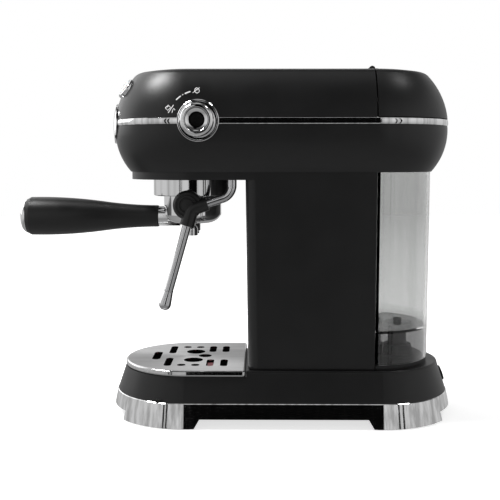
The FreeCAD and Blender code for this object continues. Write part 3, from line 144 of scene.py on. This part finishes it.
def underside_black():
    """Dull, finely textured black for what is under or behind the housing."""
    made = Shader("underside_black", Base_Color=(0.012, 0.012, 0.012))
    made.drive("Roughness", made.ramp(made.noise(60.0, 4.0), (0.3, 0.5), (0.7, 0.62)))
    made.bump(made.noise(1500.0, 3.0), 0.3, 0.00006)
    return made.material


def rubber_black():
    """Matt rubber for the pads, mounts and seals."""
    made = Shader("rubber_black", Base_Color=(0.006, 0.006, 0.006), Specular_IOR_Level=0.2)
    made.drive("Roughness", made.ramp(made.noise(80.0, 4.0), (0.3, 0.7), (0.7, 0.85)))
    made.bump(made.noise(2200.0, 3.0), 0.4, 0.00006)
    return made.material


def insert_black():
    """The matt black plug in the steam knob's dished face."""
    made = Shader("insert_black", Base_Color=(0.002, 0.002, 0.002), Specular_IOR_Level=0.12)
    made.drive("Roughness", made.ramp(made.noise(90.0, 4.0), (0.3, 0.4), (0.7, 0.55)))
    made.bump(made.noise(1600.0, 3.0), 0.2, 0.00004)
    return made.material


def chrome():
    """Bright plating with a slight waviness and thin smears."""
    made = Shader("chrome", Base_Color=(0.9, 0.9, 0.905), Metallic=1.0)
    made.drive("Roughness", made.ramp(made.noise(45.0, 5.0), (0.35, 0.03), (0.8, 0.08)))
    made.bump(made.noise(28.0, 2.0), 0.08, 0.0002)
    return made.material


def chrome_drawn():
    """Plated strip with faint upright draw lines, for the skirt, the band and the group."""
    made = Shader("chrome_drawn", Metallic=1.0)
    lines = made.noise(520.0, 4.0, (1.0, 1.0, 0.015))
    broad = made.noise(190.0, 4.0, (1.0, 1.0, 0.015))
    made.drive("Base_Color", made.ramp(broad, (0.36, (0.56, 0.56, 0.56)), (0.6, (0.94, 0.94, 0.945))))
    made.drive("Roughness", made.ramp(lines, (0.3, 0.03), (0.75, 0.08)))
    made.bump(lines, 0.1, 0.00006)
    return made.material


def polished_steel():
    """Turned and polished steel, a little duller than the plating."""
    made = Shader("polished_steel", Base_Color=(0.66, 0.66, 0.67), Metallic=1.0)
    made.drive("Roughness", made.ramp(made.noise(70.0, 5.0), (0.3, 0.1), (0.8, 0.18)))
    made.bump(made.noise(500.0, 2.0, (1.0, 1.0, 0.05)), 0.06, 0.00005)
    return made.material


def brushed_steel():
    """Sheet brushed along Y, with streaks in its roughness and a polished turned-down edge."""
    made = Shader("brushed_steel", Metallic=1.0, Anisotropic=0.6)
    streaks = made.noise(900.0, 4.0, (1.0, 0.02, 1.0))
    broad = made.noise(160.0, 3.0, (1.0, 0.05, 1.0))
    made.drive("Base_Color", made.ramp(streaks, (0.3, (0.6, 0.6, 0.603)), (0.72, (0.78, 0.78, 0.783))))
    geometry = made.node("ShaderNodeNewGeometry")
    split = made.node("ShaderNodeSeparateXYZ")
    made.link(geometry.outputs["Normal"], split.inputs["Vector"])
    on_top = made.ramp(split.outputs["Z"], (0.9, 0.0), (0.97, 1.0))
    brushed = made.ramp(broad, (0.3, 0.3), (0.75, 0.42))
    mix = made.node("ShaderNodeMix", data_type="FLOAT")
    mix.inputs[2].default_value = EDGE_ROUGHNESS
    made.link(on_top, mix.inputs[0])
    made.link(brushed, mix.inputs[3])
    made.drive("Roughness", mix.outputs[0])
    tangent = made.node("ShaderNodeTangent", direction_type="RADIAL", axis="Z")
    made.link(tangent.outputs["Tangent"], made.shader.inputs["Tangent"])
    made.bump(streaks, 0.12, 0.00005)
    return made.material


def grip_black():
    """Satin phenolic with a fine grain and slightly shinier worn patches."""
    made = Shader("grip_black", Base_Color=(0.006, 0.006, 0.006), Specular_IOR_Level=0.45)
    made.drive("Roughness", made.ramp(made.noise(55.0, 4.0), (0.3, 0.3), (0.7, 0.4)))
    made.bump(made.noise(1800.0, 3.0), 0.25, 0.00005)
    return made.material


def button_white():
    """Glossy off-white caps."""
    made = Shader("button_white", Base_Color=(0.6, 0.6, 0.59), Subsurface_Weight=0.1)
    made.drive("Roughness", made.ramp(made.noise(90.0, 3.0), (0.3, 0.18), (0.7, 0.26)))
    made.bump(made.noise(1200.0, 2.0), 0.08, 0.00004)
    return made.material


def float_red():
    """The red of the tray's full marker."""
    made = Shader("float_red", Base_Color=(0.16, 0.012, 0.02))
    made.drive("Roughness", made.ramp(made.noise(90.0, 3.0), (0.3, 0.3), (0.7, 0.42)))
    return made.material


def tank_smoke():
    """Smoke-tinted clear plastic, with painted shade round its foot and along its edges, and a little
    scuffed.
    """
    made = Shader("tank_smoke", Transmission_Weight=1.0, IOR=1.46)
    split = made.node("ShaderNodeSeparateXYZ")
    made.link(made.coordinates(), split.inputs["Vector"])
    # Painted shade: the tint is darker round the tank's foot than up its wall.
    painted_foot_shade, wall_shade = (0.36, 0.36, 0.36), (0.62, 0.625, 0.62)
    tint = made.ramp(split.outputs["Z"], (TANK_FOOT_SHADE[0], painted_foot_shade), (TANK_FOOT_SHADE[1], wall_shade))
    # Painted shade: the tint darkens where the wall turns away from the view, drawing a dark edge line.
    facing_edge = made.node("ShaderNodeLayerWeight", Blend=0.5)
    painted_edge_shade = made.ramp(facing_edge.outputs["Facing"], (0.82, 1.0), (0.97, 0.2))
    streaks = made.ramp(made.noise(70.0, 3.0, (1.0, 1.0, 0.03)), (0.3, 0.9), (0.7, 1.0))
    for shade in (painted_edge_shade, streaks):
        mix = made.node("ShaderNodeMix", data_type="RGBA", blend_type="MULTIPLY")
        mix.inputs[0].default_value = 1.0
        made.link(tint, mix.inputs[6])
        made.link(shade, mix.inputs[7])
        tint = mix.outputs[2]
    made.drive("Base_Color", tint)
    made.drive("Roughness", made.ramp(made.noise(30.0, 5.0), (0.4, 0.01), (0.8, 0.05)))
    made.bump(made.noise(18.0, 2.0), 0.15, 0.0004)
    return made.material


def valve_grey():
    """Dark grey moulding for the tank's valve and seat."""
    made = Shader("valve_grey", Base_Color=(0.03, 0.03, 0.032))
    made.drive("Roughness", made.ramp(made.noise(60.0, 4.0), (0.3, 0.4), (0.7, 0.55)))
    made.bump(made.noise(1300.0, 3.0), 0.2, 0.00005)
    return made.material


def brass():
    """Turned brass for the fittings inside."""
    made = Shader("brass", Base_Color=(0.72, 0.5, 0.22), Metallic=1.0)
    made.drive("Roughness", made.ramp(made.noise(300.0, 3.0, (1.0, 0.1, 1.0)), (0.3, 0.2), (0.7, 0.35)))
    made.bump(made.noise(600.0, 2.0), 0.15, 0.00005)
    return made.material


def cast_aluminium():
    """As-cast metal for the heated block."""
    made = Shader("cast_aluminium", Base_Color=(0.6, 0.6, 0.61), Metallic=1.0)
    made.drive("Roughness", made.ramp(made.noise(120.0, 4.0), (0.3, 0.4), (0.7, 0.58)))
    made.bump(made.noise(700.0, 4.0), 0.35, 0.0001)
    return made.material


def pump_body():
    """Dark half-metallic body for the pump."""
    made = Shader("pump_body", Base_Color=(0.09, 0.09, 0.1), Metallic=0.4)
    made.drive("Roughness", made.ramp(made.noise(90.0, 4.0), (0.3, 0.35), (0.7, 0.5)))
    made.bump(made.noise(900.0, 3.0), 0.2, 0.00005)
    return made.material


def hose_white():
    """Milky silicone hose."""
    made = Shader("hose_white", Base_Color=(0.68, 0.68, 0.64), Subsurface_Weight=0.25)
    made.drive("Roughness", made.ramp(made.noise(90.0, 4.0), (0.3, 0.35), (0.7, 0.5)))
    return made.material


def board_green():
    """Lacquered circuit board with paler tracks."""
    made = Shader("board_green", Roughness=0.35)
    tracks = made.noise(420.0, 1.0, (1.0, 0.3, 1.0))
    made.drive("Base_Color", made.ramp(tracks, (0.48, (0.012, 0.08, 0.026)), (0.56, (0.03, 0.17, 0.06))))
    return made.material


def print_white():
    """White ink."""
    made = Shader("print_white", Base_Color=(0.86, 0.86, 0.86))
    made.drive("Roughness", made.ramp(made.noise(120.0, 2.0), (0.3, 0.45), (0.7, 0.6)))
    return made.material


FINISHES = {
    maker.__name__: maker()
    for maker in (
        housing_black, underside_black, rubber_black, insert_black, chrome, chrome_drawn, polished_steel,
        brushed_steel, grip_black, button_white, float_red, tank_smoke, valve_grey, brass, cast_aluminium,
        pump_body, hose_white, board_green,
    )
}

# Nodes whose finish isn't their record slot's own.
SPECIAL = {
    "base_skirt": "chrome_drawn",
    "chrome_band": "chrome_drawn",
    "group_collar": "chrome_drawn",
    "knob_insert": "insert_black",
}


def dress_cad():
    """Give every CAD node its finish."""
    slots = {part["node"]: part["material_slot"] for part in record["subparts"]}
    for name, node in nodes.items():
        node.data.materials.clear()
        node.data.materials.append(FINISHES[SPECIAL.get(name, slots[name])])


# ---------------------------------------------------------------------------------------------
# Printed marks round the steam knob
# ---------------------------------------------------------------------------------------------
KNOB_TURN = next(joint for joint in record["behaviour"]["joints"] if joint["name"] == "knob_turn")
KNOB_ALONG, KNOB_HEIGHT = (place / MM for place in KNOB_TURN["pos_m"][1:])

# Millimetres, and degrees round the knob from straight up towards the front.
MARK_RADIUS = 26.6
DOT_ANGLE = 31.0
DOT_RADIUS = 0.3
DOT_LINE = 0.6
DASH_START, DASH_STEP, DASH_POINTS = 4.4, 2.3, 6
DASH_LINE = 1.1
ICON_LINE = 0.62
STEAM_ANGLE, STEAM_RADIUS = 67.7, MARK_RADIUS + 0.1
DROP_ANGLE, DROP_RADIUS = 3.9, MARK_RADIUS + 0.2
INK_LIFT = 0.12
INK_THICKNESS = 0.08


def surface_of(name):
    """A function that drops a point in the side view onto the right-hand side of a CAD node."""
    tree = BVHTree.FromObject(nodes[name], bpy.context.evaluated_depsgraph_get())
    beyond = cad_high[0] + 0.01

    def drop(along, height):
        return tree.ray_cast(Vector((beyond, along, height)), Vector((-1, 0, 0)))[0]

    return drop


def ribbon(path, width):
    """The left and right edges of a flat line of constant width along 2D points."""
    last = len(path) - 1
    pairs = []
    for index, (across, up) in enumerate(path):
        before, after = path[max(index - 1, 0)], path[min(index + 1, last)]
        run = Vector((after[0] - before[0], after[1] - before[1])).normalized()
        side = Vector((-run.y, run.x)) * (width / 2)
        pairs.append(((across + side.x, up + side.y), (across - side.x, up - side.y)))
    return pairs


def circle_points(centre, radius, count):
    steps = [math.radians(360.0 * i / count) for i in range(count + 1)]
    return [(centre[0] + radius * math.cos(a), centre[1] + radius * math.sin(a)) for a in steps]


def mark_at(angle, radius):
    """A place round the knob, along the machine and up, in millimetres."""
    turn = math.radians(angle)
    return (KNOB_ALONG - radius * math.sin(turn), KNOB_HEIGHT + radius * math.cos(turn))


def moved(path, centre):
    return [(centre[0] + x, centre[1] + y) for x, y in path]


def steam_icon():
    """A tilted cup, a stroke and a forked wisp, as line paths about the icon's middle."""
    cup = [(-4.4, 1.1), (-1.7, 3.6), (0.4, 1.2), (-2.1, -1.2), (-4.4, 1.1)]
    lid = [(-3.0, 1.8), (-1.5, 2.6)]
    stroke = [(-1.8, -3.5), (3.0, 3.6)]
    wisp = [(1.7, -3.4), (2.3, -1.0), (3.3, 0.6), (4.4, -1.0)]
    return [cup, lid, stroke, wisp]


def drop_icon():
    """A leaning drop with a stroke across it and a short highlight."""
    drop = [
        (0.1, 2.5), (1.7, 1.6), (2.7, 0.2), (2.5, -1.5), (0.9, -2.6), (-0.6, -1.9), (-1.4, -0.4),
        (-1.3, 1.1), (0.1, 2.5),
    ]
    stroke = [(-3.1, -2.3), (2.9, 2.6)]
    highlight = [(-0.5, 0.9), (1.2, 0.2)]
    return [drop, stroke, highlight]


def knob_marks():
    """The dial print: a dot, a dashed arc either side, and an icon at each end."""
    drop = surface_of("head_upper_shell")
    mesh = bmesh.new()
    lift = Vector((INK_LIFT * MM, 0, 0))

    def add_strip(pairs):
        rows = [
            [mesh.verts.new(drop(across * MM, up * MM) + lift) for across, up in pair] for pair in pairs
        ]
        for first, second in zip(rows, rows[1:]):
            mesh.faces.new((first[0], first[1], second[1], second[0]))

    dot = circle_points(mark_at(DOT_ANGLE, MARK_RADIUS), DOT_RADIUS, count=12)
    add_strip(ribbon(dot, DOT_LINE))
    for side in (-1, 1):
        angles = [DOT_ANGLE + side * (DASH_START + DASH_STEP * i) for i in range(DASH_POINTS)]
        add_strip(ribbon([mark_at(angle, MARK_RADIUS) for angle in angles], DASH_LINE))
    for paths, angle, radius in (
        (steam_icon(), STEAM_ANGLE, STEAM_RADIUS),
        (drop_icon(), DROP_ANGLE, DROP_RADIUS),
    ):
        for path in paths:
            add_strip(ribbon(moved(path, mark_at(angle, radius)), ICON_LINE))
    made = bpy.data.meshes.new("knob_marks")
    mesh.normal_update()
    mesh.to_mesh(made)
    mesh.free()
    marks = bpy.data.objects.new("knob_marks", made)
    bpy.context.scene.collection.objects.link(marks)
    ink = marks.modifiers.new("ink", "SOLIDIFY")
    ink.thickness = INK_THICKNESS * MM
    ink.offset = 0.0
    marks.data.materials.append(print_white())
    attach(marks, "root")


# ---------------------------------------------------------------------------------------------
# Stage, lights and camera
# ---------------------------------------------------------------------------------------------
FLOOR_HALF = 3.0
FLOOR_GLOW = 0.68


def make_plane(name, half_size):
    mesh = bmesh.new()
    bmesh.ops.create_grid(mesh, x_segments=2, y_segments=2, size=half_size)
    made = bpy.data.meshes.new(name)
    mesh.to_mesh(made)
    mesh.free()
    plane = bpy.data.objects.new(name, made)
    bpy.context.scene.collection.objects.link(plane)
    return plane


def make_floor():
    """A pale floor that the machine's gloss doesn't mirror."""
    floor = make_plane("floor", FLOOR_HALF)
    surface = Shader("floor_pale", Base_Color=(0.93, 0.93, 0.93), Specular_IOR_Level=0.0)
    surface.set("Emission_Color", (1.0, 1.0, 1.0, 1.0))
    surface.set("Emission_Strength", FLOOR_GLOW)
    surface.drive("Roughness", surface.ramp(surface.noise(2.0, 2.0), (0.3, 0.8), (0.7, 0.9)))
    floor.data.materials.append(surface.material)
    floor.visible_glossy = False


def facing(spot, aim, front):
    """The turn that points an object's own front axis from its spot to an aim."""
    return (Vector(aim) - Vector(spot)).to_track_quat(front, "Y").to_euler()


def make_card(name, size, spot, aim, glow):
    """A flat card that only reflections see, dark at a low glow."""
    card = make_plane(name, 0.5)
    card.scale = (*size, 1.0)
    card.location = spot
    card.rotation_euler = facing(spot, aim, "Z")
    material = bpy.data.materials.new(f"{name}_finish")
    material.use_nodes = True
    tree = material.node_tree
    tree.nodes.clear()
    out = tree.nodes.new("ShaderNodeOutputMaterial")
    shine = tree.nodes.new("ShaderNodeEmission")
    shine.inputs["Strength"].default_value = glow
    tree.links.new(shine.outputs["Emission"], out.inputs["Surface"])
    card.data.materials.append(material)
    card.visible_camera = False
    card.visible_diffuse = False
    card.visible_shadow = False
    card.visible_transmission = False


def make_light(name, power, size, spot, aim):
    """A rectangular lamp, with its power in watts."""
    data = bpy.data.lights.new(name, "AREA")
    data.energy = power
    data.shape = "RECTANGLE"
    data.size, data.size_y = size
    light = bpy.data.objects.new(name, data)
    light.location = spot
    light.rotation_euler = facing(spot, aim, "-Z")
    bpy.context.scene.collection.objects.link(light)


# How bright the room is at the sine of each elevation, where only reflections see it.
ROOM = [
    (-1.0, 0.34), (-0.5, 0.25), (-0.2, 0.52), (0.35, 0.66), (0.72, 0.06), (0.94, 0.06), (0.985, 0.5),
]


def make_world():
    """A white backdrop to the camera, and to reflections a room that is bright at mid height."""
    world = bpy.data.worlds.new("studio")
    bpy.context.scene.world = world
    world.use_nodes = True
    tree = world.node_tree
    tree.nodes.clear()

    path = tree.nodes.new("ShaderNodeLightPath")
    seen = tree.nodes.new("ShaderNodeMath")
    seen.operation = "MAXIMUM"
    tree.links.new(path.outputs["Is Camera Ray"], seen.inputs[0])
    tree.links.new(path.outputs["Is Transmission Ray"], seen.inputs[1])
    place = tree.nodes.new("ShaderNodeTexCoord")
    split = tree.nodes.new("ShaderNodeSeparateXYZ")
    tree.links.new(place.outputs["Generated"], split.inputs["Vector"])
    rise = tree.nodes.new("ShaderNodeMapRange")
    rise.inputs["From Min"].default_value = -1.0
    tree.links.new(split.outputs["Z"], rise.inputs["Value"])
    bands = tree.nodes.new("ShaderNodeValToRGB")
    for index, (height, strength) in enumerate(ROOM):
        stop = bands.color_ramp.elements[index] if index < 2 else bands.color_ramp.elements.new(1.0)
        stop.position = (height + 1) / 2
        stop.color = (strength, strength, strength, 1.0)
    tree.links.new(rise.outputs["Result"], bands.inputs["Fac"])
    room = tree.nodes.new("ShaderNodeBackground")
    tree.links.new(bands.outputs["Color"], room.inputs["Color"])
    mix = tree.nodes.new("ShaderNodeMixShader")
    tree.links.new(seen.outputs["Value"], mix.inputs["Fac"])
    tree.links.new(room.outputs["Background"], mix.inputs[1])
    backdrop = tree.nodes.new("ShaderNodeBackground")
    backdrop.inputs["Color"].default_value = (1, 1, 1, 1)
    tree.links.new(backdrop.outputs["Background"], mix.inputs[2])
    out = tree.nodes.new("ShaderNodeOutputWorld")
    tree.links.new(mix.outputs["Shader"], out.inputs["Surface"])


CAMERA_SPOT = (0.8411, -0.0230, 0.2457)
# Degrees: turned towards the front from straight across the machine, and tipped down.
CAMERA_YAW, CAMERA_PITCH = 0.5634, 5.959
# Millimetres.
SENSOR, LENS = 36.0, 62.18


def make_camera():
    """Level with the head, 0.84 m to the machine's right, looking slightly down."""
    data = bpy.data.cameras.new("camera")
    data.sensor_width = SENSOR
    data.lens = LENS
    camera = bpy.data.objects.new("camera", data)
    camera.location = CAMERA_SPOT
    yaw, pitch = math.radians(CAMERA_YAW), math.radians(CAMERA_PITCH)
    level = math.cos(pitch)
    look = Vector((-math.cos(yaw) * level, -math.sin(yaw) * level, -math.sin(pitch)))
    camera.rotation_euler = look.to_track_quat("-Z", "Y").to_euler()
    bpy.context.scene.collection.objects.link(camera)
    bpy.context.scene.camera = camera


def round_machine(azimuth, distance, height):
    """A point seen from the machine, in degrees from its right-hand side towards its rear."""
    turn = math.radians(azimuth)
    return (distance * math.cos(turn), distance * math.sin(turn), height)


# Name, power in watts, size, spot and aim.
LAMPS = [
    ("key", 36.0, (0.6, 0.6), (0.0, -1.14, 1.90), (0.0, -0.09, 0.3)),
    ("fill", 18.0, (2.4, 2.2), (-1.1, -1.6, 1.25), (0.0, 0.0, 0.2)),
    ("rear", 3.6, (0.4, 0.4), (0.13, 1.06, 1.96), (0.0, 0.1, 0.3)),
]
# Narrow upright cards that put the dark bars in the skirt's and the band's round ends.
FLAG_AZIMUTHS = (-37.0, -32.5, 33.5, 40.0)
FLAG_SIZE = (0.075, 1.6)
FLAG_DISTANCE = 1.8
FLAG_HEIGHT = 0.25


def make_studio():
    make_floor()
    make_world()
    make_camera()
    for lamp in LAMPS:
        make_light(*lamp)
    make_card("dark_card", (0.8, 3.8), (1.9, 0.09, 1.4), (0.0, 0.09, 1.4), 0.002)
    for index, azimuth in enumerate(FLAG_AZIMUTHS):
        spot = round_machine(azimuth, FLAG_DISTANCE, FLAG_HEIGHT)
        make_card(f"flag_{index}", FLAG_SIZE, spot, (0.0, -0.02, FLAG_HEIGHT), 0.003)
    bpy.context.scene.view_settings.view_transform = "Standard"


dress_cad()
knob_marks()
make_studio()
